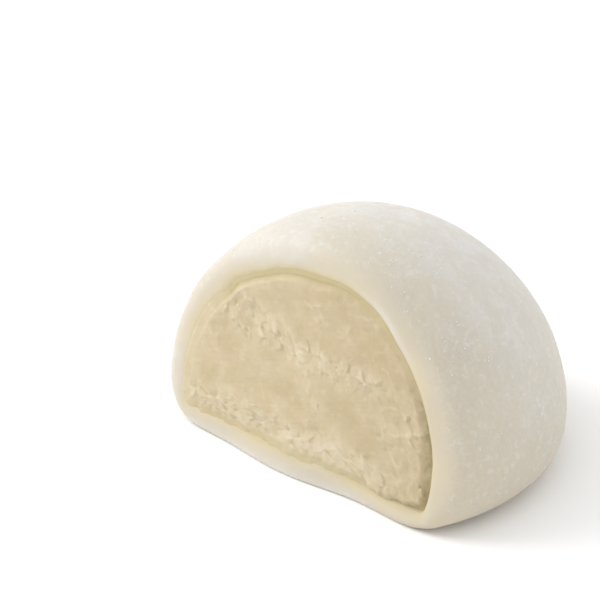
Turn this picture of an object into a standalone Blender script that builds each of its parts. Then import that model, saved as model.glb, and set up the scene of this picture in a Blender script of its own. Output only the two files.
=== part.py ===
"""A filled mochi rice cake, cut open: a flat-bottomed dome of rice dough round a pale filling.

Blender 4.5, metres, +Z up. Run it with: blender --background --python part.py
The cake stands on the table, with its origin under the middle of it, and the cut faces -Y.

Both solids are star-shaped shells: a rough mesh of rings runs over each of them, round a line
through the middle of the cut, and every point then settles onto a smooth field of the true form.
A field is about the distance from the surface in metres, below zero inside the food.
"""

import math

import bmesh
import bpy
import numpy as np

MM = 0.001

# The uncut dome, about its own upright axis.
DOME_RADIUS = 24.0 * MM
DOME_TOP = 29.4 * MM
WAIST = 5.7 * MM  # height at which the dome is widest
FOOT_RADIUS = 16.6 * MM  # radius of the flat underside
CROWN_POWER = 1.9  # of the curve above the waist: 2 is an ellipse
FOOT_POWER = 2.45

# The cut: a nearly flat face in front of the axis, which leans back and swells a little.
CUT_DISTANCE = 9.5 * MM
CUT_LEAN = math.radians(7.8)
CUT_SWELL = 1.1 * MM
HEM_WAVE = 0.4 * MM  # how far the dough under the filling waves in and out
HEM_PITCH = 22.0 * MM
HEM_CREST = -3.0 * MM
HEM_HEIGHT = 5.0 * MM

# The hollow in the dough. It leans to one side, so one wall is thicker, and its floor slopes.
HOLLOW_RADIUS = 20.75 * MM
HOLLOW_TOP = 27.0 * MM
HOLLOW_FLOOR = 2.4 * MM
HOLLOW_FOOT_RADIUS = 19.5 * MM
HOLLOW_FOOT_POWER = 3.1
HOLLOW_OFFSET = -0.35 * MM
HOLLOW_SWAY = 0.045  # sideways shift for each unit of height
HOLLOW_SLOPE = 0.03  # fall of the floor for each unit of width

# Where its wall strays from that form near the cut: the angle round the middle of the mouth in
# degrees, with +X at 0 and up at 90, then how far the wall moves outward, and over how many degrees.
BULGES = (
    (59.0, 0.95 * MM, 21.0),
    (148.0, 0.35 * MM, 12.0),
    (212.0, 0.8 * MM, 11.0),
    (-36.0, 0.7 * MM, 10.0),
    (-73.0, -0.45 * MM, 12.0),
)
BULGE_DEPTH = 5.0 * MM  # how far behind the cut they end

# How softly the dough's edge rounds over, outside and inside the mouth.
LIP_OUTSIDE = 1.7 * MM
LIP_INSIDE = 1.1 * MM

# The filling. Its face is sunk a little, most of all high up, and its rim draws back at one side.
GAP = 0.3 * MM
MOUTH_MIDDLE = 12.0 * MM
SINK_MIDDLE = 0.25 * MM
SINK_TILT = 0.02
SINK_SIDE = math.radians(60.0)
RIM_SHARP = 0.35 * MM
RIM_ROUND = 2.8 * MM
RIM_SIDE = math.radians(30.0)
SMEAR_HEIGHT = 0.12 * MM  # relief that the knife left on the filling's face
SMEAR_PITCH = 5.5 * MM
SMEAR_SLOPE = math.radians(-24.0)

# The rings of the mesh.
HEART_Y = 5.0 * MM  # the rings' centre lies this far behind the dome's axis
AROUND = 60
DOUGH_RINGS = 56
FILLING_RINGS = 32
ROUGH_ROWS = 90  # rows of the first, unevenly spaced mesh over each side of a shape
CORNER_PULL = 4.5 * MM  # a turn of one radian draws as many points as this much length
SPOKE_BLENDS = 4
SETTLE_STEPS = 12
RAY_STEPS = 36
PROBE = 0.01 * MM
SMALL = 1e-9


def smooth_max(a, b, reach):
    """The larger of two fields, with the edge where they meet rounded over about reach."""
    share = np.clip(0.5 + 0.5 * (a - b) / reach, 0.0, 1.0)
    return b + (a - b) * share + reach * share * (1.0 - share)


def oval_field(across, up, half_width, height, power):
    """About the distance from a superellipse, given shares of its half-width and its height."""
    size = (across**power + up**power) ** (1.0 / power)
    slope_across = (across / size) ** (power - 1.0) / half_width
    slope_up = (up / size) ** (power - 1.0) / height
    return (size - 1.0) / np.hypot(slope_across, slope_up)


def dome_field(points, radius, top, floor, foot_radius, foot_power):
    """A flat-bottomed dome about the Z axis, widest at the waist."""
    out = np.hypot(points[:, 0], points[:, 1])
    rise = points[:, 2] - WAIST
    above = np.maximum(rise / (top - WAIST), 0.0)
    crown = oval_field(np.maximum(out / radius, SMALL), above, radius, top - WAIST, CROWN_POWER)
    flare = np.maximum((out - foot_radius) / (radius - foot_radius), SMALL)
    below = np.maximum(-rise / (WAIST - floor), 0.0)
    foot = oval_field(flare, below, radius - foot_radius, WAIST - floor, foot_power)
    return np.where(rise > 0.0, crown, foot)


def cut_y(x, z):
    """Where the cut surface lies at width x and height z."""
    lean = -CUT_DISTANCE + z * math.tan(CUT_LEAN)
    swell = CUT_SWELL * (1.0 - (x / DOME_RADIUS) ** 2)
    low = np.clip(1.0 - z / HEM_HEIGHT, 0.0, 1.0)
    wave = HEM_WAVE * low * np.cos(2.0 * math.pi * (x - HEM_CREST) / HEM_PITCH)
    return lean - swell - wave


def outside_field(points):
    return dome_field(points, DOME_RADIUS, DOME_TOP, 0.0, FOOT_RADIUS, FOOT_POWER)


def bulging(points):
    """How far the hollow's wall stands out beyond its plain form."""
    x, y, z = points.T
    angle = np.degrees(np.arctan2(z - MOUTH_MIDDLE, x))
    outward = np.zeros(len(points))
    for middle, height, half_width in BULGES:
        aside = (angle - middle + 180.0) % 360.0 - 180.0
        outward += height * np.exp(-((aside / half_width) ** 2))
    depth = np.clip((y - cut_y(x, z)) / BULGE_DEPTH, 0.0, 1.0)
    return outward * (1.0 - depth * depth * (3.0 - 2.0 * depth))


def hollow_field(points):
    leaning = points.copy()
    leaning[:, 0] -= HOLLOW_OFFSET + HOLLOW_SWAY * points[:, 2]
    leaning[:, 2] += HOLLOW_SLOPE * points[:, 0]
    plain = dome_field(
        leaning, HOLLOW_RADIUS, HOLLOW_TOP, HOLLOW_FLOOR, HOLLOW_FOOT_RADIUS, HOLLOW_FOOT_POWER
    )
    return plain - bulging(points)


def dough_field(points):
    """The dome behind the cut, less the hollow, with a soft lip round the mouth."""
    before_cut = cut_y(points[:, 0], points[:, 2]) - points[:, 1]
    body = smooth_max(outside_field(points), before_cut, LIP_OUTSIDE)
    return smooth_max(body, -hollow_field(points), LIP_INSIDE)


def smears(x, z):
    """Long shallow waves that a knife left across the filling, as a height."""
    along = x * math.cos(SMEAR_SLOPE) + z * math.sin(SMEAR_SLOPE)
    across = z * math.cos(SMEAR_SLOPE) - x * math.sin(SMEAR_SLOPE)
    turn = 2.0 * math.pi / SMEAR_PITCH
    return SMEAR_HEIGHT * np.sin(turn * across + np.sin(turn * along / 3.0))


def toward(side, x, z):
    """How far a point of the face lies from the middle of the mouth, towards one side."""
    return x * math.cos(side) + (z - MOUTH_MIDDLE) * math.sin(side)


def filling_field(points):
    """What fills the hollow, less a gap, with its face sunk in the mouth and its rim rounded."""
    x, y, z = points.T
    sink = SINK_MIDDLE + SINK_TILT * toward(SINK_SIDE, x, z)
    face = cut_y(x, z) + sink + smears(x, z) - y
    drawn_back = np.clip(0.5 + 0.5 * toward(RIM_SIDE, x, z) / HOLLOW_RADIUS, 0.0, 1.0) ** 3
    rim = RIM_SHARP + (RIM_ROUND - RIM_SHARP) * drawn_back
    return smooth_max(hollow_field(points) + GAP, face, rim)


def rays_to(field, start, directions, far=2.0 * DOME_RADIUS):
    """How far each ray from start runs before it leaves the field's inside."""
    low = np.zeros(len(directions))
    high = np.full(len(directions), far)
    for _ in range(RAY_STEPS):
        middle = 0.5 * (low + high)
        inside = field(start + directions * middle[:, None]) < 0.0
        low = np.where(inside, middle, low)
        high = np.where(inside, high, middle)
    return 0.5 * (low + high)


def settle(points, field):
    """Moves each point along the field's slope until it lies on the surface."""
    for _ in range(SETTLE_STEPS):
        value = field(points)
        slope = np.empty_like(points)
        for axis in range(3):
            step = np.zeros(3)
            step[axis] = PROBE
            slope[:, axis] = (field(points + step) - field(points - step)) / (2.0 * PROBE)
        points = points - slope * (value / (slope**2).sum(axis=1))[:, None]
    return points


def lengths_along(line):
    """The length covered at each point of a line."""
    lengths = np.linalg.norm(np.diff(line, axis=0), axis=1)
    return np.concatenate([[0.0], np.cumsum(lengths)])


def sampled(line, way, wanted):
    """Points of a line where the way covered is as wanted."""
    return np.stack([np.interp(wanted, way, line[:, axis]) for axis in range(3)], axis=1)


def turned_lengths(line):
    """The line at even steps, and the way covered at each, where turning counts as length."""
    way = lengths_along(line)
    even = sampled(line, way, np.linspace(0.0, way[-1], 2 * ROUGH_ROWS))
    steps = np.diff(even, axis=0)
    ways = steps / np.linalg.norm(steps, axis=1)[:, None]
    turns = np.arccos(np.clip((ways[1:] * ways[:-1]).sum(axis=1), -1.0, 1.0))
    cost = np.linalg.norm(steps, axis=1)
    cost[1:] += 0.5 * CORNER_PULL * turns
    cost[:-1] += 0.5 * CORNER_PULL * turns
    return even, np.concatenate([[0.0], np.cumsum(cost)])


HEART = np.array([0.0, HEART_Y, MOUTH_MIDDLE])
BACKWARD = np.array([0.0, 1.0, 0.0])


def mouth_outline(field, spokes):
    """Where a surface meets the cut, along spokes from the middle of the mouth."""
    low = np.zeros(len(spokes))
    high = np.full(len(spokes), 2.0 * DOME_RADIUS)
    for _ in range(RAY_STEPS):
        middle = 0.5 * (low + high)
        points = HEART + spokes * middle[:, None]
        points[:, 1] = cut_y(points[:, 0], points[:, 2])
        inside = field(points) < 0.0
        low = np.where(inside, middle, low)
        high = np.where(inside, high, middle)
    return points


def even_spokes():
    """Directions from the middle of the mouth that meet its outline at even steps."""
    angles = np.linspace(0.0, 2.0 * math.pi, 12 * AROUND + 1)
    fine = np.stack([np.cos(angles), np.zeros(len(angles)), np.sin(angles)], axis=1)
    outline, way = turned_lengths(mouth_outline(hollow_field, fine))
    ends = sampled(outline, way, way[-1] * np.arange(AROUND) / AROUND) - HEART
    ends[:, 1] = 0.0
    return ends / np.linalg.norm(ends, axis=1)[:, None]


SPOKES = even_spokes()


def back_rows(field, rim):
    """Rings over the back of a shape, from its rearmost point to its rim at the cut."""
    toward_rim = rim - HEART
    widest = np.arctan2(np.hypot(toward_rim[:, 0], toward_rim[:, 2]), toward_rim[:, 1])
    found = []
    for row in range(ROUGH_ROWS + 1):
        angle = (widest * row / ROUGH_ROWS)[:, None]
        directions = BACKWARD * np.cos(angle) + SPOKES * np.sin(angle)
        found.append(HEART + directions * rays_to(field, HEART, directions)[:, None])
    return found


def rows_between(first, last):
    """Rings across the cut, from one rim to another."""
    found = []
    for row in range(1, ROUGH_ROWS + 1):
        points = first + (last - first) * row / ROUGH_ROWS
        points[:, 1] = cut_y(points[:, 0], points[:, 2])
        found.append(points)
    return found


def even_rings(rough_rings, count, field):
    """Settled rings that are evenly spaced, much alike on neighbouring spokes."""
    rough = settle(np.concatenate(rough_rings), field).reshape(-1, AROUND, 3)
    lines, ways = zip(*[turned_lengths(rough[:, k]) for k in range(AROUND)])
    ways = np.stack(ways) / np.stack(ways)[:, -1:]
    for _ in range(SPOKE_BLENDS):
        ways = 0.5 * ways + 0.25 * (np.roll(ways, 1, axis=0) + np.roll(ways, -1, axis=0))
    wanted = np.linspace(0.0, 1.0, count + 2)
    rings = [sampled(line, way, wanted) for line, way in zip(lines, ways)]
    return settle(np.stack(rings, axis=1).reshape(-1, 3), field).reshape(-1, AROUND, 3)


def ring_object(name, rough_rings, count, field, colour, roughness):
    """A closed mesh of count rings with a point at each end."""
    points = even_rings(rough_rings, count, field)
    bm = bmesh.new()
    first = bm.verts.new(points[0].mean(axis=0))
    loops = [[bm.verts.new(point) for point in ring] for ring in points[1:-1]]
    last = bm.verts.new(points[-1].mean(axis=0))
    for k in range(AROUND):
        after = (k + 1) % AROUND
        bm.faces.new((first, loops[0][k], loops[0][after]))
        for ring, following in zip(loops, loops[1:]):
            bm.faces.new((ring[k], following[k], following[after], ring[after]))
        bm.faces.new((loops[-1][k], last, loops[-1][after]))
    bmesh.ops.recalc_face_normals(bm, faces=bm.faces)
    mesh = bpy.data.meshes.new(name)
    bm.to_mesh(mesh)
    bm.free()
    mesh.shade_smooth()
    mesh.materials.append(plain_material(name, colour, roughness))
    made = bpy.data.objects.new(name, mesh)
    bpy.context.scene.collection.objects.link(made)
    return made


def plain_material(name, colour, roughness):
    material = bpy.data.materials.new(name)
    material.use_nodes = True
    shader = material.node_tree.nodes["Principled BSDF"]
    shader.inputs["Base Color"].default_value = (*colour, 1.0)
    shader.inputs["Roughness"].default_value = roughness
    shader.inputs["Metallic"].default_value = 0.0
    return material


def make_dough():
    outer_rim = mouth_outline(outside_field, SPOKES)
    inner_rim = mouth_outline(hollow_field, SPOKES)
    rings = back_rows(outside_field, outer_rim)
    rings += rows_between(outer_rim, inner_rim)
    rings += back_rows(hollow_field, inner_rim)[-2::-1]
    return ring_object(
        "dough", rings, DOUGH_RINGS, dough_field, colour=(0.79, 0.76, 0.69), roughness=0.6
    )


def make_filling():
    rim = mouth_outline(hollow_field, SPOKES)
    middle = np.array([[0.0, float(cut_y(0.0, MOUTH_MIDDLE)), MOUTH_MIDDLE]])
    rings = back_rows(hollow_field, rim)
    rings += rows_between(rim, np.repeat(middle, AROUND, axis=0))
    return ring_object(
        "filling", rings, FILLING_RINGS, filling_field, colour=(0.69, 0.58, 0.39), roughness=0.75
    )


def centre_on_origin(objects):
    """Puts the origin under the middle of the cake's box."""
    corners = np.array([vert.co[:] for vert in objects[0].data.vertices])
    middle = 0.5 * (corners.min(axis=0) + corners.max(axis=0))
    for made in objects:
        made.location = (-middle[0], -middle[1], 0.0)


def main():
    for old in list(bpy.data.objects):
        bpy.data.objects.remove(old)
    centre_on_origin([make_dough(), make_filling()])


main()
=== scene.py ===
"""Looks of the filled mochi rice cake: soft dusted dough round a crumbly, knife-cut filling.

Metres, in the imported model's frame: the cut faces -Y and the cake stands on z = 0. The dough and
the filling are built again from the forms that the solids have, finer and with the relief that
their surfaces show, and crumbs and grains of starch lie on them.
"""

import math

import bmesh
import bpy
import numpy as np
from mathutils import Matrix, Vector


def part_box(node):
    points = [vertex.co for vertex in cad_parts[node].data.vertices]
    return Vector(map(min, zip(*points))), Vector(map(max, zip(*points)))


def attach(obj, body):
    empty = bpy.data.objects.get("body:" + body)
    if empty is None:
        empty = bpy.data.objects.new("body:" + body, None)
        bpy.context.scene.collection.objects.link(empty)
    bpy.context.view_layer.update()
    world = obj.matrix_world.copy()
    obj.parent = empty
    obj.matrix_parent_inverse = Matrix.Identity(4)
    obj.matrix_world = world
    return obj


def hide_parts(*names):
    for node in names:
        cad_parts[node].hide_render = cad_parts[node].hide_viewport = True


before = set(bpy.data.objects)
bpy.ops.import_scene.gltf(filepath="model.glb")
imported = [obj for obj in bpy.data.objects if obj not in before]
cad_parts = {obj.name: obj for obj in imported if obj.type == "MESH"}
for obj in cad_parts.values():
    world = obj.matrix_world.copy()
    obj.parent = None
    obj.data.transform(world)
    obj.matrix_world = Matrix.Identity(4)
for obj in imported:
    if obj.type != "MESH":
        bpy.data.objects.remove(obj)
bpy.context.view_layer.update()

MM = 0.001

# The uncut dome, about its own upright axis.
DOME_RADIUS = 24.0 * MM
DOME_TOP = 29.4 * MM
WAIST = 5.7 * MM
FOOT_RADIUS = 16.6 * MM
CROWN_POWER = 1.9
FOOT_POWER = 2.45

# The cut: a nearly flat face in front of the axis, which leans back and swells a little.
CUT_DISTANCE = 9.5 * MM
CUT_LEAN = math.radians(7.8)
CUT_SWELL = 1.1 * MM
HEM_WAVE = 0.4 * MM
HEM_PITCH = 22.0 * MM
HEM_CREST = -3.0 * MM
HEM_HEIGHT = 5.0 * MM
HEM_TUCK = 1.15 * MM
HEM_TUCK_HEIGHT = 2.6 * MM
HEM_DENT = 0.12 * MM
HEM_DENT_MIDDLE = 7.0 * MM
HEM_DENT_REACH = 4.0 * MM

# The hollow in the dough.
HOLLOW_RADIUS = 20.4 * MM
HOLLOW_TOP = 26.35 * MM
HOLLOW_FLOOR = 2.95 * MM
HOLLOW_FOOT_RADIUS = 19.4 * MM
HOLLOW_FOOT_POWER = 3.1
HOLLOW_OFFSET = -0.35 * MM
HOLLOW_SWAY = 0.045
HOLLOW_SLOPE = 0.03

# Where the mouth bulges past that form: angle round its middle, how far, and half-width in degrees.
SHOULDERS = (
    (59.0, 0.75 * MM, 21.0), (140.0, 0.15 * MM, 14.0), (212.0, 0.5 * MM, 11.0),
    (-36.0, 0.4 * MM, 10.0), (-73.0, -0.45 * MM, 12.0),
)
SHOULDER_FADE = 5.0 * MM

# How softly the dough's edge rounds over, outside and inside the mouth.
LIP_OUTSIDE = 1.7 * MM
LIP_FOOT = 0.8 * MM
LIP_ANGLES = (-60.0, -40.0, -20.0, 10.0, 30.0, 60.0, 90.0, 120.0, 150.0, 200.0, 225.0)
LIP_DEPTHS = (0.9, 1.0, 1.1, 1.0, 0.7, 0.8, 0.9, 0.9, 0.85, 0.8, 0.9)
LIP_SLANTS = (0.5, 0.7, 0.9, 0.8, 0.4, 0.5, 0.62, 0.62, 0.55, 0.42, 0.5)

# The colour of the dough beside the mouth: how creamy it is over the width of the lip, and how
# strongly and how far out the last bit before the filling is tinted olive and darker. That tint is
# partly the dough's own yellow where it lies thin over the filling and partly painted shade along the
# crease.
TINT_ANGLES = (-60.0, -40.0, -20.0, 10.0, 30.0, 60.0, 90.0, 120.0, 150.0, 180.0, 205.0, 225.0)
LIP_CREAMS = (0.45, 0.5, 0.7, 1.0, 0.75, 0.65, 0.5, 0.45, 0.85, 1.0, 0.5, 0.45)
LIP_OLIVE_AND_SHADES = (1.0, 0.95, 0.9, 0.8, 0.5, 0.75, 0.8, 0.8, 0.85, 0.8, 0.6, 1.0)
TINT_REACHES = (1.8, 1.3, 0.9, 0.9, 1.0, 1.7, 1.7, 1.5, 2.3, 2.9, 1.8, 1.9)

# The filling's face and rim. It reaches into the dough, so no gap shows.
BEDDED = 1.0 * MM
MOUTH_MIDDLE = 12.0 * MM
FACE_CENTRE = (2.0 * MM, 9.5 * MM)
SINK_MIDDLE = 0.25 * MM
SINK_TILT = 0.02
SINK_SIDE = math.radians(60.0)
RIM_SHARP = 0.35 * MM
RIM_ROUND = 2.2 * MM
RIM_SIDE = math.radians(30.0)
# How far behind the cut the filling meets the dough.
MEETING_ANGLES = (-90.0, -50.0, -30.0, 5.0, 25.0, 60.0, 90.0, 130.0, 160.0, 200.0, 235.0, 270.0)
MEETING_DEPTHS = (0.1, 0.14, 0.3, 0.3, 0.15, 0.1, 0.05, 0.05, 0.06, 0.08, 0.1, 0.1)
SMEAR_HEIGHT = 0.12 * MM
SMEAR_PITCH = 5.5 * MM
SMEAR_SLOPE = math.radians(-24.0)

# The first, rough rings that the fine meshes start from.
HEART_Y = 5.0 * MM
AROUND = 60
ROUGH_ROWS = 90
CORNER_PULL = 4.5 * MM
SPOKE_BLENDS = 4
RAY_STEPS = 30
PROBE = 0.01 * MM
SMALL = 1e-9

# Round the mouth, by the angle from its middle: +X is 0 and up is 90 degrees. The filling has
# shrunk from the dough and left a groove; its own edge stands up inside the groove as a ridge.
GROOVE_ANGLES = (-60.0, -50.0, -35.0, -13.0, 5.0, 22.0, 45.0, 64.0, 84.0, 104.0, 128.0, 148.0,
                 160.0, 175.0, 200.0, 212.0)
GROOVE_DEPTHS = (0.0, 0.1, 0.7, 0.95, 0.7, 0.15, 0.0, 0.0, 0.0, 0.0, 0.0, 0.0, 0.0, 0.0, 0.0, 0.0)
GROOVE_WIDTHS = (0.6, 0.7, 1.0, 1.2, 0.9, 0.6, 0.6, 0.7, 0.7, 0.5, 0.6, 0.5, 0.3, 0.3, 0.3, 0.6)
# how strongly the filling is made darker olive in the groove: painted shade in the groove, with the
# olive of dough and paste blended there
GROOVE_OLIVE_AND_SHADES = (0.7, 0.7, 0.8, 1.0, 0.9, 0.5, 0.7, 0.9, 1.0, 1.0, 1.0, 0.8, 0.3, 0.1, 0.2, 0.6)
TROUGH_DEPTHS = (0.0, 0.0, 0.0, 0.0, 0.0, 0.0, 0.12, 0.2, 0.2, 0.15, 0.17, 0.15, 0.05, 0.0, 0.0, 0.0)
RIDGE_ANGLES = (-60.0, 70.0, 95.0, 115.0, 148.0, 162.0, 178.0, 200.0, 220.0)
RIDGE_HEIGHTS = (0.0, 0.0, 0.03, 0.07, 0.09, 0.09, 0.08, 0.06, 0.0)
RIDGE_INSIDES = (1.0, 0.9, 0.7, 0.6, 0.5, 0.3, 0.2, 0.1, 0.1)

# Nibs of dough at the edge of the mouth: angle, how far they stand out, and half-width.
NIBS = ((127.0, 0.12 * MM, 5.0), (146.0, -0.15 * MM, 4.0), (156.0, 0.1 * MM, 5.0))
MOUTH_WOBBLE = 0.12 * MM

# Relief, in metres of height.
DOUGH_WAVES = 0.16 * MM
DOUGH_DIMPLES = 0.03 * MM
CRUMB_RELIEF = 0.56  # share of the chips' own height
GRAIN_RELIEF = 0.05 * MM
DRAG_RELIEF = 0.05 * MM

# Where loose starch lies thickest on the dough, from the dome's axis.
STARCH_PATCH = np.array([17.5, -2.8, 21.0]) * MM
STARCH_PATCH_REACH = 3.2 * MM

# The camera: where the dome's axis meets the table shows up, and how large.
CAMERA_AZIMUTH = math.radians(42.07)
CAMERA_ELEVATION = math.radians(28.82)
CAMERA_DISTANCE = 600.0 * MM
CAMERA_LENS = 309.4
AIM_RIGHT = -6.91 * MM
AIM_UP = 17.01 * MM


# ---------------------------------------------------------------------------------------------
# Noise that is the same on every run


def hashed(cells, seed):
    """A number from 0 to 1 for each whole-numbered cell."""
    mask = np.uint64(0xFFFFFFFF)
    mixed = np.full(cells.shape[:-1], seed * 7919 + 17, np.uint64)
    for axis in range(cells.shape[-1]):
        mixed ^= cells[..., axis].astype(np.int64).astype(np.uint64) & mask
        mixed = (mixed * np.uint64(0x85EBCA6B)) & mask
        mixed ^= mixed >> np.uint64(13)
        mixed = (mixed * np.uint64(0xC2B2AE35)) & mask
        mixed ^= mixed >> np.uint64(16)
    return mixed.astype(float) / float(0xFFFFFFFF)


def noise(points, size, seed):
    """Smooth noise from -1 to 1 whose bumps are about size across."""
    places = points / size
    cells = np.floor(places)
    parts = places - cells
    parts = parts * parts * (3.0 - 2.0 * parts)
    total = np.zeros(len(points))
    dims = points.shape[1]
    for corner in range(2**dims):
        offset = np.array([(corner >> axis) & 1 for axis in range(dims)])
        weight = np.prod(np.where(offset, parts, 1.0 - parts), axis=1)
        total += weight * hashed(cells + offset, seed)
    return 2.0 * total - 1.0


def fractal(points, size, octaves, seed):
    total, height, reach = np.zeros(len(points)), 1.0, 0.0
    for octave in range(octaves):
        total += height * noise(points + 37.0 * size * octave, size / 2.0**octave, seed + octave)
        reach += height
        height *= 0.5
    return total / reach


def lumps(points, size, seed):
    """Of scattered centres: the distance to the nearest, to the next, its number and the way from it.

    Lengths are in sizes.
    """
    places = points / size
    cells = np.floor(places)
    dims = points.shape[1]
    nearest = np.full(len(points), 9.0)
    second = np.full(len(points), 9.0)
    number = np.zeros(len(points))
    way = np.zeros_like(points)
    for index in range(3**dims):
        offset = np.array([(index // 3**axis) % 3 - 1 for axis in range(dims)])
        cell = cells + offset
        centre = cell + np.stack([hashed(cell, seed + axis) for axis in range(dims)], axis=1)
        distance = np.linalg.norm(places - centre, axis=1)
        closer = distance < nearest
        second = np.where(closer, nearest, np.minimum(second, distance))
        number = np.where(closer, hashed(cell, seed + 9), number)
        way = np.where(closer[:, None], places - centre, way)
        nearest = np.where(closer, distance, nearest)
    return nearest, second, number, way


def smooth_step(value, low, high):
    share = np.clip((value - low) / (high - low), 0.0, 1.0)
    return share * share * (3.0 - 2.0 * share)


# ---------------------------------------------------------------------------------------------
# Fields: about the distance from a surface, below zero inside the food


def smooth_max(a, b, reach):
    share = np.clip(0.5 + 0.5 * (a - b) / reach, 0.0, 1.0)
    return b + (a - b) * share + reach * share * (1.0 - share)


def oval_field(across, up, half_width, height, power):
    size = (across**power + up**power) ** (1.0 / power)
    slope_across = (across / size) ** (power - 1.0) / half_width
    slope_up = (up / size) ** (power - 1.0) / height
    return (size - 1.0) / np.hypot(slope_across, slope_up)


def dome_field(points, radius, top, floor, foot_radius, foot_power):
    out = np.hypot(points[:, 0], points[:, 1])
    rise = points[:, 2] - WAIST
    above = np.maximum(rise / (top - WAIST), 0.0)
    crown = oval_field(np.maximum(out / radius, SMALL), above, radius, top - WAIST, CROWN_POWER)
    flare = np.maximum((out - foot_radius) / (radius - foot_radius), SMALL)
    below = np.maximum(-rise / (WAIST - floor), 0.0)
    foot = oval_field(flare, below, radius - foot_radius, WAIST - floor, foot_power)
    return np.where(rise > 0.0, crown, foot)


def cut_y(x, z):
    lean = -CUT_DISTANCE + z * math.tan(CUT_LEAN)
    swell = CUT_SWELL * (1.0 - (x / DOME_RADIUS) ** 2)
    low = np.clip(1.0 - z / HEM_HEIGHT, 0.0, 1.0)
    tuck = HEM_TUCK * np.clip(1.0 - z / HEM_TUCK_HEIGHT, 0.0, 1.0) ** 2
    wave = HEM_WAVE * low * np.cos(2.0 * math.pi * (x - HEM_CREST) / HEM_PITCH)
    dent = HEM_DENT * low * np.exp(-(((x - HEM_DENT_MIDDLE) / HEM_DENT_REACH) ** 2))
    return lean - swell - wave + dent


def outside_field(points):
    return dome_field(points, DOME_RADIUS, DOME_TOP, 0.0, FOOT_RADIUS, FOOT_POWER)


def angle_round_mouth(x, z):
    """From -90 to 270 degrees."""
    return (np.degrees(np.arctan2(z - MOUTH_MIDDLE, x)) + 90.0) % 360.0 - 90.0


def round_mouth(x, z, angles, values):
    return np.interp(angle_round_mouth(x, z), angles, values)


def hollow_field(points):
    x, _, z = points.T
    leaning = points.copy()
    leaning[:, 0] -= HOLLOW_OFFSET + HOLLOW_SWAY * z
    leaning[:, 2] += HOLLOW_SLOPE * x
    field = dome_field(
        leaning, HOLLOW_RADIUS, HOLLOW_TOP, HOLLOW_FLOOR, HOLLOW_FOOT_RADIUS, HOLLOW_FOOT_POWER
    )
    field += MOUTH_WOBBLE * fractal(np.stack([x, z], axis=1), 3.5 * MM, 2, 5)
    angle = angle_round_mouth(x, z)
    for middle, height, half_width in NIBS:
        field += height * np.exp(-(((angle - middle) / half_width) ** 2))
    near_cut = 1.0 - smooth_step(points[:, 1] - cut_y(x, z), 0.0, SHOULDER_FADE)
    for middle, height, half_width in SHOULDERS:
        aside = (angle - middle + 180.0) % 360.0 - 180.0
        field -= height * near_cut * np.exp(-((aside / half_width) ** 2))
    return field


def dough_field(points):
    before_cut = cut_y(points[:, 0], points[:, 2]) - points[:, 1]
    x, _, z = points.T
    outer = LIP_FOOT + (LIP_OUTSIDE - LIP_FOOT) * smooth_step(z, 0.8 * MM, 3.0 * MM)
    body = smooth_max(outside_field(points), before_cut, outer)
    depth = MM * round_mouth(x, z, LIP_ANGLES, LIP_DEPTHS)
    slant = round_mouth(x, z, LIP_ANGLES, LIP_SLANTS)
    return smooth_max(body, -slant * hollow_field(points), depth)


def smears(x, z):
    along = x * math.cos(SMEAR_SLOPE) + z * math.sin(SMEAR_SLOPE)
    across = z * math.cos(SMEAR_SLOPE) - x * math.sin(SMEAR_SLOPE)
    turn = 2.0 * math.pi / SMEAR_PITCH
    return SMEAR_HEIGHT * np.sin(turn * across + np.sin(turn * along / 3.0))


def toward(side, x, z):
    return x * math.cos(side) + (z - MOUTH_MIDDLE) * math.sin(side)


def inside_mouth(points):
    """How far in from the dough's wall."""
    return np.maximum(-hollow_field(points), 0.0)


def filling_field(points):
    x, y, z = points.T
    inside = inside_mouth(points)
    width = MM * round_mouth(x, z, GROOVE_ANGLES, GROOVE_WIDTHS)
    ragged = 0.12 * MM * fractal(np.stack([x, z], axis=1), 0.9 * MM, 2, 15)
    groove = 1.0 - smooth_step(inside + 1.5 * ragged, 0.4 * width, 1.2 * width)
    groove *= MM * round_mouth(x, z, GROOVE_ANGLES, GROOVE_DEPTHS)
    ridge_inside = MM * round_mouth(x, z, RIDGE_ANGLES, RIDGE_INSIDES)
    ridge = np.exp(-(((inside + ragged - ridge_inside) / (0.32 * MM)) ** 2))
    ridge *= MM * round_mouth(x, z, RIDGE_ANGLES, RIDGE_HEIGHTS)
    trough = np.exp(-(((inside + ragged - 0.4 * width) / (0.5 * width)) ** 2))
    groove += trough * MM * round_mouth(x, z, GROOVE_ANGLES, TROUGH_DEPTHS)
    sink = SINK_MIDDLE + SINK_TILT * toward(SINK_SIDE, x, z)
    meeting = MM * round_mouth(x, z, MEETING_ANGLES, MEETING_DEPTHS)
    sink = meeting + (sink - meeting) * smooth_step(inside, 0.5 * MM, 4.0 * MM)
    smear = smears(x, z) * smooth_step(inside, 0.0, 2.5 * MM)
    face = cut_y(x, z) + sink + groove - ridge + smear - y
    drawn_back = np.clip(0.5 + 0.5 * toward(RIM_SIDE, x, z) / HOLLOW_RADIUS, 0.0, 1.0) ** 3
    rim = RIM_SHARP + (RIM_ROUND - RIM_SHARP) * drawn_back
    return smooth_max(hollow_field(points) - BEDDED, face, rim)


def slope_of(points, field):
    slope = np.empty_like(points)
    for axis in range(3):
        step = np.zeros(3)
        step[axis] = PROBE
        slope[:, axis] = (field(points + step) - field(points - step)) / (2.0 * PROBE)
    return slope


def settle(points, field, steps):
    """Moves each point along the field's slope until it lies on the surface."""
    for _ in range(steps):
        slope = slope_of(points, field)
        points = points - slope * (field(points) / (slope**2).sum(axis=1))[:, None]
    return points


# ---------------------------------------------------------------------------------------------
# Rings over a shape, from its rearmost point round to the middle of its front

HEART = np.array([0.0, HEART_Y, MOUTH_MIDDLE])
BACKWARD = np.array([0.0, 1.0, 0.0])


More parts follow.
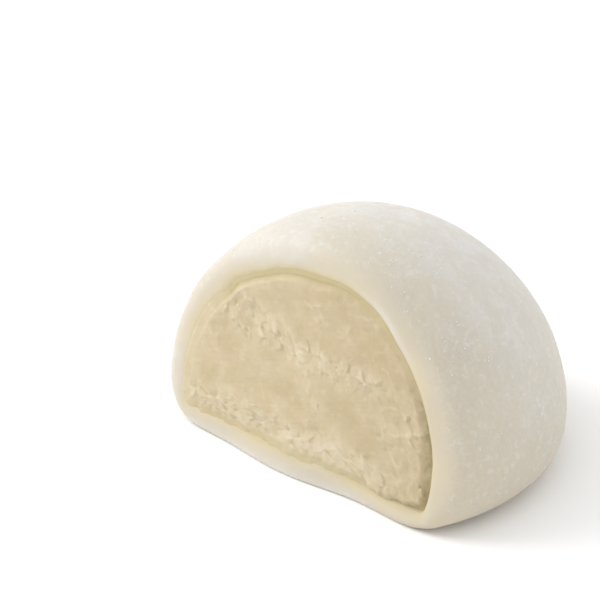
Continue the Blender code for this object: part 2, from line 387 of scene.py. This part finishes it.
def rays_to(field, directions):
    low = np.zeros(len(directions))
    high = np.full(len(directions), 2.0 * DOME_RADIUS)
    for _ in range(RAY_STEPS):
        middle = 0.5 * (low + high)
        inside = field(HEART + directions * middle[:, None]) < 0.0
        low = np.where(inside, middle, low)
        high = np.where(inside, high, middle)
    return 0.5 * (low + high)


def sampled(line, way, wanted):
    return np.stack([np.interp(wanted, way, line[:, axis]) for axis in range(3)], axis=1)


def turned_lengths(line, front_pull=0.0):
    """The line at even steps, and the way covered at each, where turning counts as length.

    Points near the cut count front_pull times more.
    """
    lengths = np.linalg.norm(np.diff(line, axis=0), axis=1)
    way = np.concatenate([[0.0], np.cumsum(lengths)])
    even = sampled(line, way, np.linspace(0.0, way[-1], 2 * ROUGH_ROWS))
    steps = np.diff(even, axis=0)
    ways = steps / np.linalg.norm(steps, axis=1)[:, None]
    turns = np.arccos(np.clip((ways[1:] * ways[:-1]).sum(axis=1), -1.0, 1.0))
    cost = np.linalg.norm(steps, axis=1)
    cost[1:] += 0.5 * CORNER_PULL * turns
    cost[:-1] += 0.5 * CORNER_PULL * turns
    middle = 0.5 * (even[1:] + even[:-1])
    behind = middle[:, 1] - cut_y(middle[:, 0], middle[:, 2])
    cost *= 1.0 + front_pull * (1.0 - smooth_step(behind, 1.5 * MM, 4.0 * MM))
    return even, np.concatenate([[0.0], np.cumsum(cost)])


def mouth_outline(field, spokes):
    low = np.zeros(len(spokes))
    high = np.full(len(spokes), 2.0 * DOME_RADIUS)
    for _ in range(RAY_STEPS):
        middle = 0.5 * (low + high)
        points = HEART + spokes * middle[:, None]
        points[:, 1] = cut_y(points[:, 0], points[:, 2])
        inside = field(points) < 0.0
        low = np.where(inside, middle, low)
        high = np.where(inside, high, middle)
    return points


def even_spokes():
    angles = np.linspace(0.0, 2.0 * math.pi, 12 * AROUND + 1)
    fine = np.stack([np.cos(angles), np.zeros(len(angles)), np.sin(angles)], axis=1)
    outline, way = turned_lengths(mouth_outline(hollow_field, fine))
    ends = sampled(outline, way, way[-1] * np.arange(AROUND) / AROUND) - HEART
    ends[:, 1] = 0.0
    return ends / np.linalg.norm(ends, axis=1)[:, None]


SPOKES = even_spokes()


def back_rows(field, rim):
    toward_rim = rim - HEART
    widest = np.arctan2(np.hypot(toward_rim[:, 0], toward_rim[:, 2]), toward_rim[:, 1])
    found = []
    for row in range(ROUGH_ROWS + 1):
        angle = (widest * row / ROUGH_ROWS)[:, None]
        directions = BACKWARD * np.cos(angle) + SPOKES * np.sin(angle)
        found.append(HEART + directions * rays_to(field, directions)[:, None])
    return found


def rows_between(first, last):
    found = []
    for row in range(1, ROUGH_ROWS + 1):
        points = first + (last - first) * row / ROUGH_ROWS
        points[:, 1] = cut_y(points[:, 0], points[:, 2])
        found.append(points)
    return found


def even_rings(rough_rings, count, field, front_pull):
    rough = settle(np.concatenate(rough_rings), field, 8).reshape(-1, AROUND, 3)
    lines, ways = zip(*[turned_lengths(rough[:, k], front_pull) for k in range(AROUND)])
    ways = np.stack(ways) / np.stack(ways)[:, -1:]
    for _ in range(SPOKE_BLENDS):
        ways = 0.5 * ways + 0.25 * (np.roll(ways, 1, axis=0) + np.roll(ways, -1, axis=0))
    wanted = np.linspace(0.0, 1.0, count + 2)
    rings = [sampled(line, way, wanted) for line, way in zip(lines, ways)]
    return settle(np.stack(rings, axis=1).reshape(-1, 3), field, 6).reshape(-1, AROUND, 3)


def spokes_doubled(rings):
    """The same rings with twice as many points, on smooth curves through the old ones."""
    before, after = np.roll(rings, 1, axis=1), np.roll(rings, -1, axis=1)
    later = np.roll(rings, -2, axis=1)
    between = (9.0 * (rings + after) - before - later) / 16.0
    return np.stack([rings, between], axis=2).reshape(len(rings), -1, 3)


def shell(rough_rings, count, field, front_pull=0.0, doublings=2):
    """Fine settled rings, and the outward direction at each of their points."""
    rings = even_rings(rough_rings, count, field, front_pull)
    for _ in range(doublings):
        rings = spokes_doubled(rings)
    rings[0] = rings[0].mean(axis=0)
    rings[-1] = rings[-1].mean(axis=0)
    points = settle(rings.reshape(-1, 3), field, 3)
    slope = slope_of(points, field)
    return points, slope / np.linalg.norm(slope, axis=1)[:, None], rings.shape[1]


# ---------------------------------------------------------------------------------------------
# Objects

low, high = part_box("dough")
AXIS = np.array([0.5 * (low.x + high.x), high.y - DOME_RADIUS, 0.0])  # of the dome


def joined_rings(name, points, around):
    """A closed mesh over rings, whose first and last rings are single points."""
    rows = len(points) // around
    kept = np.concatenate([points[:1], points[around:-around], points[-1:]]) + AXIS
    ring = np.arange(around)
    after = (ring + 1) % around
    first = 1 + around * np.arange(rows - 3)[:, None]
    quads = np.stack(
        [first + ring, first + around + ring, first + around + after, first + after], axis=-1
    ).reshape(-1, 4)
    last = len(kept) - 1
    ends = np.concatenate(
        [
            np.stack([np.zeros_like(ring), 1 + ring, 1 + after], axis=-1),
            np.stack([last - around + ring, np.full_like(ring, last), last - around + after], axis=-1),
        ]
    )
    mesh = bpy.data.meshes.new(name)
    mesh.from_pydata(kept.tolist(), [], quads.tolist() + ends.tolist())
    mesh.shade_smooth()
    made = bpy.data.objects.new(name, mesh)
    bpy.context.scene.collection.objects.link(made)
    return made


def kept_values(values, around):
    return np.concatenate([values[:1], values[around:-around], values[-1:]])


def add_attribute(made, name, values):
    attribute = made.data.attributes.new(name, "FLOAT", "POINT")
    attribute.data.foreach_set("value", values.astype(np.float32))


def make_dough():
    outer_rim = mouth_outline(outside_field, SPOKES)
    inner_rim = mouth_outline(hollow_field, SPOKES)
    rough = back_rows(outside_field, outer_rim)
    rough += rows_between(outer_rim, inner_rim)
    rough += back_rows(hollow_field, inner_rim)[-2::-1]
    points, outward, around = shell(rough, 230, dough_field)
    lift = smooth_step(points[:, 2], 0.0, 4.0 * MM)
    waves = DOUGH_WAVES * fractal(points, 11.0 * MM, 2, 3)
    dimples = DOUGH_DIMPLES * fractal(points, 2.6 * MM, 3, 11)
    points = points + outward * (lift * (waves + dimples))[:, None]
    made = joined_rings("dough_skin", points, around)
    x, y, z = points.T
    right = smooth_step(x, 8.0 * MM, 14.0 * MM)
    depth = np.clip(hollow_field(points) / (3.0 * MM), 0.0, 1.0)
    inner = 1.0 - np.clip(hollow_field(points) / ((3.0 + 1.8 * right) * MM), 0.0, 1.0)
    inner *= round_mouth(x, z, TINT_ANGLES, LIP_CREAMS) * smooth_step(z, 0.0, 1.5 * MM)
    reach = MM * round_mouth(x, z, TINT_ANGLES, TINT_REACHES)
    # the last bit before the filling, olive and darker: partly the dough's own colour, partly painted
    # shade along the crease
    brink = 1.0 - smooth_step(hollow_field(points) / reach, 0.2, 1.0)
    olive_and_crease_shade = brink * round_mouth(x, z, TINT_ANGLES, LIP_OLIVE_AND_SHADES) * smooth_step(z, 0.1 * MM, 1.3 * MM)
    inner = np.maximum(inner, inner + (1.0 - inner) * olive_and_crease_shade)
    # Starch dust, whiter further behind the cut, towards the top and at the top left: partly real
    # dusting, partly painted light and painted sheen.
    behind = smooth_step(y - cut_y(x, z), 0.0, 14.0 * MM)
    top_left = smooth_step(z, 19.0 * MM, 27.0 * MM) * smooth_step(-x, -1.0 * MM, 5.0 * MM)
    dust_and_painted_light = (0.25 + 0.75 * np.maximum(behind, 0.6 * top_left)) * smooth_step(z, -3.0 * MM, 26.0 * MM)
    dust_and_painted_light *= 1.0 - smooth_step(1.0 - depth, 0.3 * top_left, 0.6 + 0.25 * top_left)
    # painted highlight: a pale, whiter band on the lip's crest at the upper right, put in with the
    # dusting
    painted_crest_highlight = np.exp(-(((hollow_field(points) - 0.75 * MM) / (0.45 * MM)) ** 2))
    painted_crest_highlight *= np.exp(-(((angle_round_mouth(x, z) - 46.0) / 15.0) ** 2))
    dust_and_painted_light = np.maximum(dust_and_painted_light, 0.7 * painted_crest_highlight)
    # floury at the thin left wall; along the foot of the cut paler, a painted light that lifts the
    # shade where the cake meets the floor
    side = smooth_step(-x, 16.0 * MM, 20.0 * MM) * (1.0 - smooth_step(z, 7.0 * MM, 13.0 * MM))
    dust_and_painted_light = np.maximum(dust_and_painted_light, 0.35 * side * smooth_step(hollow_field(points), 0.5 * MM, 2.0 * MM))
    foot = (1.0 - smooth_step(z, 0.3 * MM, 2.0 * MM)) * smooth_step(13.0 * MM - x, 0.0, 6.0 * MM)
    dust_and_painted_light = np.maximum(dust_and_painted_light, 0.7 * foot * (1.0 - smooth_step(behind, 0.0, 0.1)))
    speckled = (1.0 - smooth_step(1.0 - depth, 0.0, 0.3)) * smooth_step(z, 1.5 * MM, 5.0 * MM)
    milky = smooth_step(hollow_field(points), 1.0 * MM, 2.6 * MM)
    add_attribute(made, "milky", kept_values(milky, around))
    add_attribute(made, "speckled", kept_values(speckled, around))
    add_attribute(made, "inward", kept_values(inner, around))
    add_attribute(made, "dust_and_painted_light", kept_values(dust_and_painted_light, around))
    return made


def crumbly(x, z):
    """How crumbly the cut face is, from 0 where the knife smoothed it to 1."""
    flat = np.stack([x, z], axis=1)
    sway = 1.5 * MM * fractal(flat, 5.0 * MM, 3, 21)
    left = np.maximum(-x - 2.0 * MM, 0.0)
    off_band = np.abs(z - 14.8 * MM - 0.28 * left - 0.7 * sway) - 0.14 * left
    band = 1.0 - smooth_step(off_band, 0.5 * MM, 2.6 * MM)
    hem = 1.0 - smooth_step(z - 5.4 * MM - sway, 0.5 * MM, 2.4 * MM)
    right = smooth_step(x + sway, 9.5 * MM, 12.5 * MM) * (1.0 - smooth_step(z, 12.0 * MM, 15.0 * MM))
    patches = 0.45 * smooth_step(fractal(flat, 4.0 * MM, 3, 31), 0.1, 0.5)
    return np.clip(np.maximum.reduce([band, 0.85 * hem, 0.8 * right, patches]), 0.0, 1.0)


def flakes(flat, size, seed):
    """Chips with flat, tilted faces and lower seams between them."""
    _, second, number, way = lumps(flat, size, seed)
    nearest = np.linalg.norm(way, axis=1)
    turn = 2.0 * math.pi * number
    tilted = way[:, 0] * np.cos(turn) + way[:, 1] * np.sin(turn)
    whole = 0.5 + 0.5 * smooth_step(second - nearest, 0.0, 0.2)
    return size * whole * (0.22 * tilted + 0.12 * (number - 0.5))


def filling_relief(x, z):
    """Height that the face stands proud of its plain form."""
    flat = np.stack([0.85 * x, z], axis=1)
    warp = 0.2 * MM * np.stack([noise(flat, 0.8 * MM, 41), noise(flat, 0.8 * MM, 43)], axis=1)
    rough = crumbly(x, z)
    chips = flakes(flat + warp, 1.3 * MM, 51) + 0.7 * flakes(flat + warp, 0.7 * MM, 53)
    chips += 0.16 * MM * fractal(flat, 2.0 * MM, 3, 45)
    holes = smooth_step(fractal(flat - warp, 0.8 * MM, 3, 131), 0.25, 0.6)
    at_hem = 1.0 - smooth_step(z - HOLLOW_FLOOR + HOLLOW_SLOPE * x, 0.4 * MM, 2.2 * MM)
    hem = at_hem * (0.4 * flakes(flat + warp, 0.9 * MM, 141) - 0.02 * MM)
    grain = GRAIN_RELIEF * fractal(flat, 0.7 * MM, 3, 61) * (0.4 + rough)
    streaks = np.stack([toward(SMEAR_SLOPE, x, z) / 9.0, z - 0.35 * x], axis=1)
    drag = DRAG_RELIEF * fractal(streaks, 0.8 * MM, 3, 71) * (1.0 - 0.6 * rough)
    pit, _, chance, _ = lumps(flat + warp, 1.3 * MM, 81)
    pits = 0.1 * MM * (1.0 - smooth_step(pit, 0.05, 0.28)) * (chance > 0.78) * (0.25 + rough)
    pits += 0.06 * MM * holes * (0.12 + rough)
    swells = 0.09 * MM * fractal(flat, 4.5 * MM, 3, 91)
    return CRUMB_RELIEF * rough * chips + hem + grain + drag + swells - pits


def make_filling():
    rim = mouth_outline(hollow_field, SPOKES)
    middle = np.array([[FACE_CENTRE[0], float(cut_y(*FACE_CENTRE)), FACE_CENTRE[1]]])
    rough = back_rows(hollow_field, rim)
    rough += rows_between(rim, np.repeat(middle, AROUND, axis=0))
    points, outward, around = shell(rough, 190, filling_field, front_pull=6.0, doublings=3)
    x, y, z = points.T
    inside = inside_mouth(points)
    front = smooth_step(-outward[:, 1], 0.1, 0.5)
    rim_hold = 0.35 + 0.65 * smooth_step(inside, 0.0, 1.0 * MM)
    relief = filling_relief(x, z)
    points = points + outward * (relief * front * rim_hold)[:, None]
    # at the lower right the filling is smeared down over the dough's edge
    near_cut = 1.0 - smooth_step(y - cut_y(x, z), 0.9 * MM, 2.0 * MM)
    floor = HOLLOW_FLOOR - HOLLOW_SLOPE * x
    edge = near_cut * (1.0 - smooth_step(z - floor, 0.0 * MM, 1.8 * MM))
    along = np.stack([x, 0.4 * z], axis=1)
    right = smooth_step(x, 7.0 * MM, 12.0 * MM) * smooth_step(17.5 * MM - x, 0.0, 2.0 * MM)
    hang = (0.8 * right + 0.35 * fractal(along, 1.2 * MM, 4, 101)) * MM
    points[:, 1] += edge * np.clip(0.1 * MM - 0.4 * hang, -0.3 * MM, 0.2 * MM)
    points[:, 2] -= edge * np.clip(hang, -0.3 * MM, None)
    points[:, 2] = np.maximum(points[:, 2], 0.35 * MM)
    made = joined_rings("filling_cut", points, around)
    # painted shade in the groove along the dough's wall, with some olive of dough and paste
    width = MM * round_mouth(x, z, GROOVE_ANGLES, GROOVE_WIDTHS)
    olive_and_crease_shade = round_mouth(x, z, GROOVE_ANGLES, GROOVE_OLIVE_AND_SHADES)
    groove = olive_and_crease_shade * (1.0 - smooth_step(inside, 0.3 * width, 1.2 * width))
    # painted highlight: the filling's raised edge inside the groove is made lighter
    ridge_inside = MM * round_mouth(x, z, RIDGE_ANGLES, RIDGE_INSIDES)
    ridge = np.exp(-(((inside - ridge_inside) / (0.4 * MM)) ** 2))
    ridge *= round_mouth(x, z, RIDGE_ANGLES, RIDGE_HEIGHTS) / max(RIDGE_HEIGHTS)
    # painted shade: the face darker towards its upper right
    shade = smooth_step(toward(math.radians(28.0), x, z), -4.0 * MM, 17.0 * MM)
    # how proud the face stands, which drives the painted highlight on raised chips and the painted
    # shade in pits
    proud = np.clip(0.5 + (relief - 0.02 * MM) / (0.4 * MM), 0.0, 1.0)
    add_attribute(made, "proud", kept_values(proud, around))
    milky = smooth_step(inside, 0.3 * MM, 1.5 * MM)
    add_attribute(made, "milky", kept_values(milky, around))
    add_attribute(made, "shade", kept_values(shade, around))
    pale = crumbly(x, z) * (0.4 + 0.6 * smooth_step(x, -15.0 * MM, -6.0 * MM))
    pale *= 1.0 - 0.55 * smooth_step(z, 9.0 * MM, 13.0 * MM)
    pale *= 1.0 - 0.6 * smooth_step(x, 9.0 * MM, 14.0 * MM)
    add_attribute(made, "pale", kept_values(pale, around))
    add_attribute(made, "crumbly", kept_values(crumbly(x, z), around))
    add_attribute(made, "groove", kept_values(groove, around))
    add_attribute(made, "ridge", kept_values(ridge, around))
    return made


def blob_template(subdivisions):
    mesh = bmesh.new()
    bmesh.ops.create_icosphere(mesh, subdivisions=subdivisions, radius=1.0)
    points = np.array([v.co for v in mesh.verts])
    faces = np.array([[v.index for v in f.verts] for f in mesh.faces])
    mesh.free()
    return points, faces


def make_blobs(name, centres, sizes, subdivisions, unevenness, rng):
    """Small uneven lumps, joined in one mesh."""
    shape, faces = blob_template(subdivisions)
    count = len(centres)
    turns = np.linalg.qr(rng.normal(size=(count, 3, 3)))[0]
    turns *= np.sign(np.linalg.det(turns))[:, None, None]
    stretch = rng.uniform(0.6, 1.15, (count, 1, 3))
    swell = 1.0 + unevenness * rng.normal(size=(count, len(shape), 1))
    local = (shape[None] * swell * stretch) @ turns
    points = centres[:, None, :] + local * sizes[:, None, None]
    points[..., 2] = np.maximum(points[..., 2], 0.0)
    corners = faces[None] + len(shape) * np.arange(count)[:, None, None]
    mesh = bpy.data.meshes.new(name)
    mesh.from_pydata((points.reshape(-1, 3)).tolist(), [], corners.reshape(-1, 3).tolist())
    mesh.shade_smooth()
    made = bpy.data.objects.new(name, mesh)
    bpy.context.scene.collection.objects.link(made)
    return made


def surface_of(made):
    """Points and outward directions of a mesh's vertices."""
    count = len(made.data.vertices)
    points, outward = np.empty(3 * count), np.empty(3 * count)
    made.data.vertices.foreach_get("co", points)
    made.data.vertices.foreach_get("normal", outward)
    return points.reshape(-1, 3), outward.reshape(-1, 3)


def areas_of(made):
    """The area that belongs to each vertex."""
    faces = made.data.polygons
    area = np.empty(len(faces))
    faces.foreach_get("area", area)
    sizes = np.empty(len(faces), np.int32)
    faces.foreach_get("loop_total", sizes)
    corners = np.empty(len(made.data.loops), np.int32)
    made.data.loops.foreach_get("vertex_index", corners)
    return np.bincount(corners, np.repeat(area / sizes, sizes), len(made.data.vertices))


def make_crumbs(filling):
    rng = np.random.default_rng(7)
    points, outward = surface_of(filling)
    x, y, z = (points - AXIS).T
    front = outward[:, 1] < -0.3
    hem = front & (z < 3.4 * MM) & (np.abs(x) < 17.0 * MM)
    edge = hem & (z < HOLLOW_FLOOR - HOLLOW_SLOPE * x + 0.2 * MM)
    weight = hem * (0.4 + smooth_step(x, 4.0 * MM, 12.0 * MM)) + 1.6 * edge
    weight = (weight + front * 0.10 * crumbly(x, z)) * areas_of(filling)
    chosen = rng.choice(len(points), 320, replace=False, p=weight / weight.sum())
    sizes = MM * rng.uniform(0.09, 0.28, len(chosen)) * np.where(hem[chosen], 1.0, 0.7)
    centres = points[chosen] - outward[chosen] * (0.25 * sizes)[:, None]
    return make_blobs("crumbs", centres, sizes, 2, 0.07, rng)


def make_starch(dough):
    rng = np.random.default_rng(11)
    points, outward = surface_of(dough)
    x, y, z = (points - AXIS).T
    outer = hollow_field(points - AXIS) > 2.2 * MM
    clustered = smooth_step(fractal(points, 5.0 * MM, 3, 111), -0.15, 0.45)
    away = np.linalg.norm(points - AXIS - STARCH_PATCH, axis=1)
    patch = 3.5 * np.exp(-((away / STARCH_PATCH_REACH) ** 2))
    weight = outer * areas_of(dough) * (0.1 + clustered + patch) * smooth_step(z, 1.0 * MM, 9.0 * MM)
    chosen = rng.choice(len(points), 380, replace=False, p=weight / weight.sum())
    sizes = MM * (0.05 + 0.11 * rng.random(len(chosen)) ** 2.5)
    centres = points[chosen] + MM * 0.1 * rng.normal(size=(len(chosen), 3))
    centres = settle(centres - AXIS, outside_field, 2) + AXIS
    return make_blobs("starch_grains", centres, sizes, 1, 0.1, rng)


# ---------------------------------------------------------------------------------------------
# Materials


class Nodes:
    """Adds shader nodes to a new material, one call each."""

    def __init__(self, name):
        self.material = bpy.data.materials.new(name)
        self.material.use_nodes = True
        self.tree = self.material.node_tree
        self.shader = self.tree.nodes["Principled BSDF"]

    def add(self, kind, inputs=None, **settings):
        node = self.tree.nodes.new(kind)
        for key, value in settings.items():
            setattr(node, key, value)
        for key, value in (inputs or {}).items():
            self.put(node.inputs[key], value)
        return node

    def put(self, socket, value):
        if isinstance(value, bpy.types.NodeSocket):
            self.tree.links.new(value, socket)
        elif isinstance(value, tuple) and socket.type == "RGBA":
            socket.default_value = (*value, 1.0)
        else:
            socket.default_value = value

    def place(self):
        return self.add("ShaderNodeTexCoord").outputs["Object"]

    def attribute(self, name):
        return self.add("ShaderNodeAttribute", attribute_name=name).outputs["Fac"]

    def noise(self, size, detail=2.0, rough=0.5, distort=0.0):
        values = {"Vector": self.place(), "Scale": 1.0 / size, "Detail": detail}
        values |= {"Roughness": rough, "Distortion": distort}
        return self.add("ShaderNodeTexNoise", values).outputs["Fac"]

    def lumps(self, size, feature="F1"):
        values = {"Vector": self.place(), "Scale": 1.0 / size}
        return self.add("ShaderNodeTexVoronoi", values, feature=feature)

    def spread(self, value, from_low, from_high, to_low=0.0, to_high=1.0):
        limits = {"Value": value, "From Min": from_low, "From Max": from_high}
        limits |= {"To Min": to_low, "To Max": to_high}
        return self.add("ShaderNodeMapRange", limits, interpolation_type="SMOOTHSTEP").outputs[
            "Result"
        ]

    def math(self, operation, a, b):
        return self.add("ShaderNodeMath", {0: a, 1: b}, operation=operation).outputs[0]

    def mix(self, share, a, b, blend="MIX"):
        node = self.add("ShaderNodeMix", data_type="RGBA", blend_type=blend)
        self.put(node.inputs[0], share)
        self.put(node.inputs[6], a)
        self.put(node.inputs[7], b)
        return node.outputs[2]

    def ramp(self, value, stops):
        node = self.add("ShaderNodeValToRGB", {"Fac": value})
        elements = node.color_ramp.elements
        while len(elements) < len(stops):
            elements.new(0.5)
        for element, (position, colour) in zip(elements, stops):
            element.position = position
            element.color = (*colour, 1.0)
        return node.outputs["Color"]

    def bump(self, height, distance, strength=1.0, normal=None):
        values = {"Height": height, "Distance": distance, "Strength": strength}
        if normal is not None:
            values["Normal"] = normal
        return self.add("ShaderNodeBump", values).outputs["Normal"]

    def finish(self, **inputs):
        for key, value in inputs.items():
            self.put(self.shader.inputs[key.replace("_", " ")], value)
        return self.material


def dough_material():
    n = Nodes("rice_dough")
    inward = n.attribute("inward")
    dust_and_painted_light = n.attribute("dust_and_painted_light")
    base = n.ramp(
        inward,
        [(0.0, (0.56, 0.505, 0.40)), (0.5, (0.58, 0.515, 0.392)), (0.8, (0.585, 0.51, 0.355)),
         (1.0, (0.545, 0.475, 0.29))],
    )
    cloud = n.spread(n.noise(5.0 * MM, 4.0, 0.6), 0.35, 0.68)
    base = n.mix(n.math("MULTIPLY", cloud, 0.36), base, (0.51, 0.47, 0.39))
    frost = n.spread(n.noise(3.2 * MM, 6.0, 0.72, 0.6), 0.40, 0.66)
    powder = n.spread(n.noise(0.5 * MM, 5.0, 0.7), 0.38, 0.64)
    # whitening by the dust mask: partly real starch dust, partly painted light, sheen and highlight
    cover = n.math("ADD", n.math("MULTIPLY", frost, 0.35), 0.62)
    cover = n.math("MULTIPLY", dust_and_painted_light, cover)
    base = n.mix(cover, base, (0.66, 0.645, 0.62))
    outer = n.attribute("speckled")
    clots = n.spread(n.noise(0.9 * MM, 4.0, 0.65, 0.5), 0.52, 0.68)
    patchy = n.math("ADD", n.math("MULTIPLY", clots, 0.2), n.math("MULTIPLY", powder, 0.08))
    base = n.mix(n.math("MULTIPLY", patchy, outer), base, (0.82, 0.815, 0.79))
    # pale spots: partly starch specks, partly painted glints
    cell = n.lumps(1.15 * MM)
    near = n.spread(cell.outputs["Distance"], 0.24, 0.06)
    chosen = n.spread(cell.outputs["Color"], 0.5, 0.7)
    cluster = n.spread(n.noise(5.5 * MM, 3.0, 0.6), 0.50, 0.62)
    specks_and_glints = n.math("MULTIPLY", n.math("MULTIPLY", near, chosen), n.math("MULTIPLY", outer, cluster))
    base = n.mix(n.math("MULTIPLY", specks_and_glints, 0.55), base, (0.80, 0.80, 0.785))
    rough = n.spread(n.noise(1.1 * MM, 3.0), 0.3, 0.7, 0.52, 0.68)
    fine = n.bump(n.noise(0.22 * MM, 3.0, 0.6), 0.015 * MM)
    soft = n.bump(n.noise(1.9 * MM, 3.0, 0.55), 0.08 * MM, normal=fine)
    normal = n.bump(specks_and_glints, 0.05 * MM, normal=soft)
    return n.finish(
        Base_Color=base, Roughness=rough, Normal=normal, IOR=1.42, Specular_IOR_Level=0.25,
        Subsurface_Weight=n.math("MULTIPLY", n.attribute("milky"), 0.5),
        Subsurface_Radius=(1.0, 0.78, 0.52), Subsurface_Scale=1.3 * MM,
        Sheen_Weight=0.05, Sheen_Roughness=0.45,
    )


def filling_material():
    n = Nodes("cut_filling")
    crumbs = n.attribute("crumbly")
    cloud = n.spread(n.noise(4.0 * MM, 5.0, 0.62, 0.5), 0.32, 0.68)
    base = n.mix(cloud, (0.50, 0.41, 0.258), (0.555, 0.47, 0.315))
    blush = n.spread(n.noise(2.0 * MM, 4.0, 0.6, 0.4), 0.42, 0.7)
    base = n.mix(n.math("MULTIPLY", blush, 0.4), base, (0.585, 0.475, 0.345))
    # painted shade, darker towards the upper right of the face
    base = n.mix(n.math("MULTIPLY", n.attribute("shade"), 0.85), base, (0.465, 0.375, 0.235))
    base = n.mix(n.math("MULTIPLY", n.attribute("pale"), 0.78), base, (0.635, 0.56, 0.42))
    grain = n.spread(n.lumps(0.55 * MM).outputs["Color"], 0.0, 1.0)
    base = n.mix(n.math("MULTIPLY", grain, 0.12), base, (0.49, 0.395, 0.25))
    flecks = n.spread(n.noise(1.3 * MM, 3.0, 0.6), 0.52, 0.74)
    base = n.mix(n.math("MULTIPLY", flecks, 0.3), base, (0.66, 0.58, 0.425))
    mottle = n.spread(n.noise(1.7 * MM, 3.0, 0.55, 0.5), 0.42, 0.66)
    mottle = n.math("MULTIPLY", mottle, n.attribute("shade"))
    base = n.mix(n.math("MULTIPLY", mottle, 0.35), base, (0.60, 0.50, 0.345))
    proud = n.attribute("proud")
    # lighter where the face stands proud: partly the crumbs' own paler colour, partly painted
    # highlight
    light_crumbs_and_highlight = n.math("MULTIPLY", n.spread(proud, 0.52, 0.8), 0.5)
    base = n.mix(light_crumbs_and_highlight, base, (0.66, 0.59, 0.45))
    # darker where the face is sunk: painted shade in the pits
    painted_shade_in_pits = n.math("MULTIPLY", n.spread(proud, 0.42, 0.1), 0.35)
    base = n.mix(painted_shade_in_pits, base, (0.46, 0.39, 0.235))
    # painted highlight on the filling's raised edge inside the groove
    base = n.mix(n.math("MULTIPLY", n.attribute("ridge"), 0.35), base, (0.66, 0.575, 0.41))
    # painted shade: the filling darker olive in the groove along the dough's wall
    base = n.mix(n.math("MULTIPLY", n.attribute("groove"), 0.8), base, (0.47, 0.40, 0.225))
    rough = n.spread(crumbs, 0.0, 1.0, 0.55, 0.85)
    fine = n.bump(n.noise(0.16 * MM, 3.0, 0.65), 0.025 * MM)
    normal = n.bump(n.noise(0.9 * MM, 3.0, 0.55), 0.06 * MM, normal=fine)
    return n.finish(
        Base_Color=base, Roughness=rough, Normal=normal, IOR=1.35, Specular_IOR_Level=0.25,
        Subsurface_Weight=n.math("MULTIPLY", n.attribute("milky"), 0.4),
        Subsurface_Radius=(1.0, 0.75, 0.42), Subsurface_Scale=1.1 * MM,
    )


def crumb_material():
    n = Nodes("crumb_paste")
    shade = n.spread(n.noise(0.6 * MM, 3.0), 0.3, 0.7)
    base = n.mix(shade, (0.56, 0.46, 0.30), (0.66, 0.57, 0.40))
    normal = n.bump(n.noise(0.12 * MM, 3.0), 0.03 * MM)
    return n.finish(Base_Color=base, Roughness=0.8, Normal=normal, Specular_IOR_Level=0.25)


def starch_material():
    n = Nodes("starch_dust")
    shade = n.spread(n.noise(0.8 * MM, 2.0), 0.3, 0.7)
    base = n.mix(shade, (0.72, 0.715, 0.70), (0.82, 0.815, 0.80))
    return n.finish(Base_Color=base, Roughness=0.6, Specular_IOR_Level=0.3, Sheen_Weight=0.1)


def stage_material():
    n = Nodes("pale_floor")
    return n.finish(Base_Color=(0.96, 0.96, 0.96), Roughness=0.9)


# ---------------------------------------------------------------------------------------------
# The pieces

dough = make_dough()
dough.data.materials.append(dough_material())
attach(dough, "root")
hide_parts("dough")

filling = make_filling()
filling.data.materials.append(filling_material())
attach(filling, "root")
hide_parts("filling")

crumbs = make_crumbs(filling)
crumbs.data.materials.append(crumb_material())
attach(crumbs, "root")

starch = make_starch(dough)
starch.data.materials.append(starch_material())
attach(starch, "root")


# ---------------------------------------------------------------------------------------------
# Stage, light and camera


def make_floor():
    mesh = bpy.data.meshes.new("floor")
    half = 6.0
    mesh.from_pydata(
        [(-half, -half, 0.0), (half, -half, 0.0), (half, half, 0.0), (-half, half, 0.0)],
        [], [(0, 1, 2, 3)],
    )
    made = bpy.data.objects.new("floor", mesh)
    made.data.materials.append(stage_material())
    bpy.context.scene.collection.objects.link(made)
    return made


def view_axes():
    back = Vector(
        (
            math.sin(CAMERA_AZIMUTH) * math.cos(CAMERA_ELEVATION),
            -math.cos(CAMERA_AZIMUTH) * math.cos(CAMERA_ELEVATION),
            math.sin(CAMERA_ELEVATION),
        )
    )
    right = Vector((math.cos(CAMERA_AZIMUTH), math.sin(CAMERA_AZIMUTH), 0.0))
    return right, back.cross(right), back


def turned(right, up, back, place):
    turn = Matrix((right, up, back)).transposed().to_4x4()
    turn.translation = place
    return turn


def make_camera():
    right, up, back = view_axes()
    aim = Vector(AXIS) + AIM_RIGHT * right + AIM_UP * up
    data = bpy.data.cameras.new("camera")
    data.lens = CAMERA_LENS
    data.sensor_width = 36.0
    data.clip_start = 0.01
    made = bpy.data.objects.new("camera", data)
    made.matrix_world = turned(right, up, back, aim + CAMERA_DISTANCE * back)
    bpy.context.scene.collection.objects.link(made)
    bpy.context.scene.camera = made


def make_light(name, toward_view, distance, size, power, colour):
    """A square soft light that looks at the cake from a direction given in the camera's axes."""
    right, up, back = view_axes()
    away = (toward_view[0] * right + toward_view[1] * up + toward_view[2] * back).normalized()
    data = bpy.data.lights.new(name, "AREA")
    data.shape = "SQUARE"
    data.size = size
    data.energy = power
    data.color = colour
    made = bpy.data.objects.new(name, data)
    side = Vector((0.0, 0.0, 1.0)).cross(away).normalized()
    place = Vector((0.0, 0.0, 0.012)) + distance * away
    made.matrix_world = turned(side, away.cross(side), away, place)
    bpy.context.scene.collection.objects.link(made)


make_floor()
make_camera()
make_light("key", (-0.80, 0.62, 0.12), 0.9, 0.6, 4.5, (1.0, 0.985, 0.96))

world = bpy.data.worlds.new("white_room")
world.use_nodes = True
world.node_tree.nodes["Background"].inputs["Color"].default_value = (1.0, 1.0, 1.0, 1.0)
world.node_tree.nodes["Background"].inputs["Strength"].default_value = 0.98
bpy.context.scene.world = world
bpy.context.scene.view_settings.view_transform = "Standard"
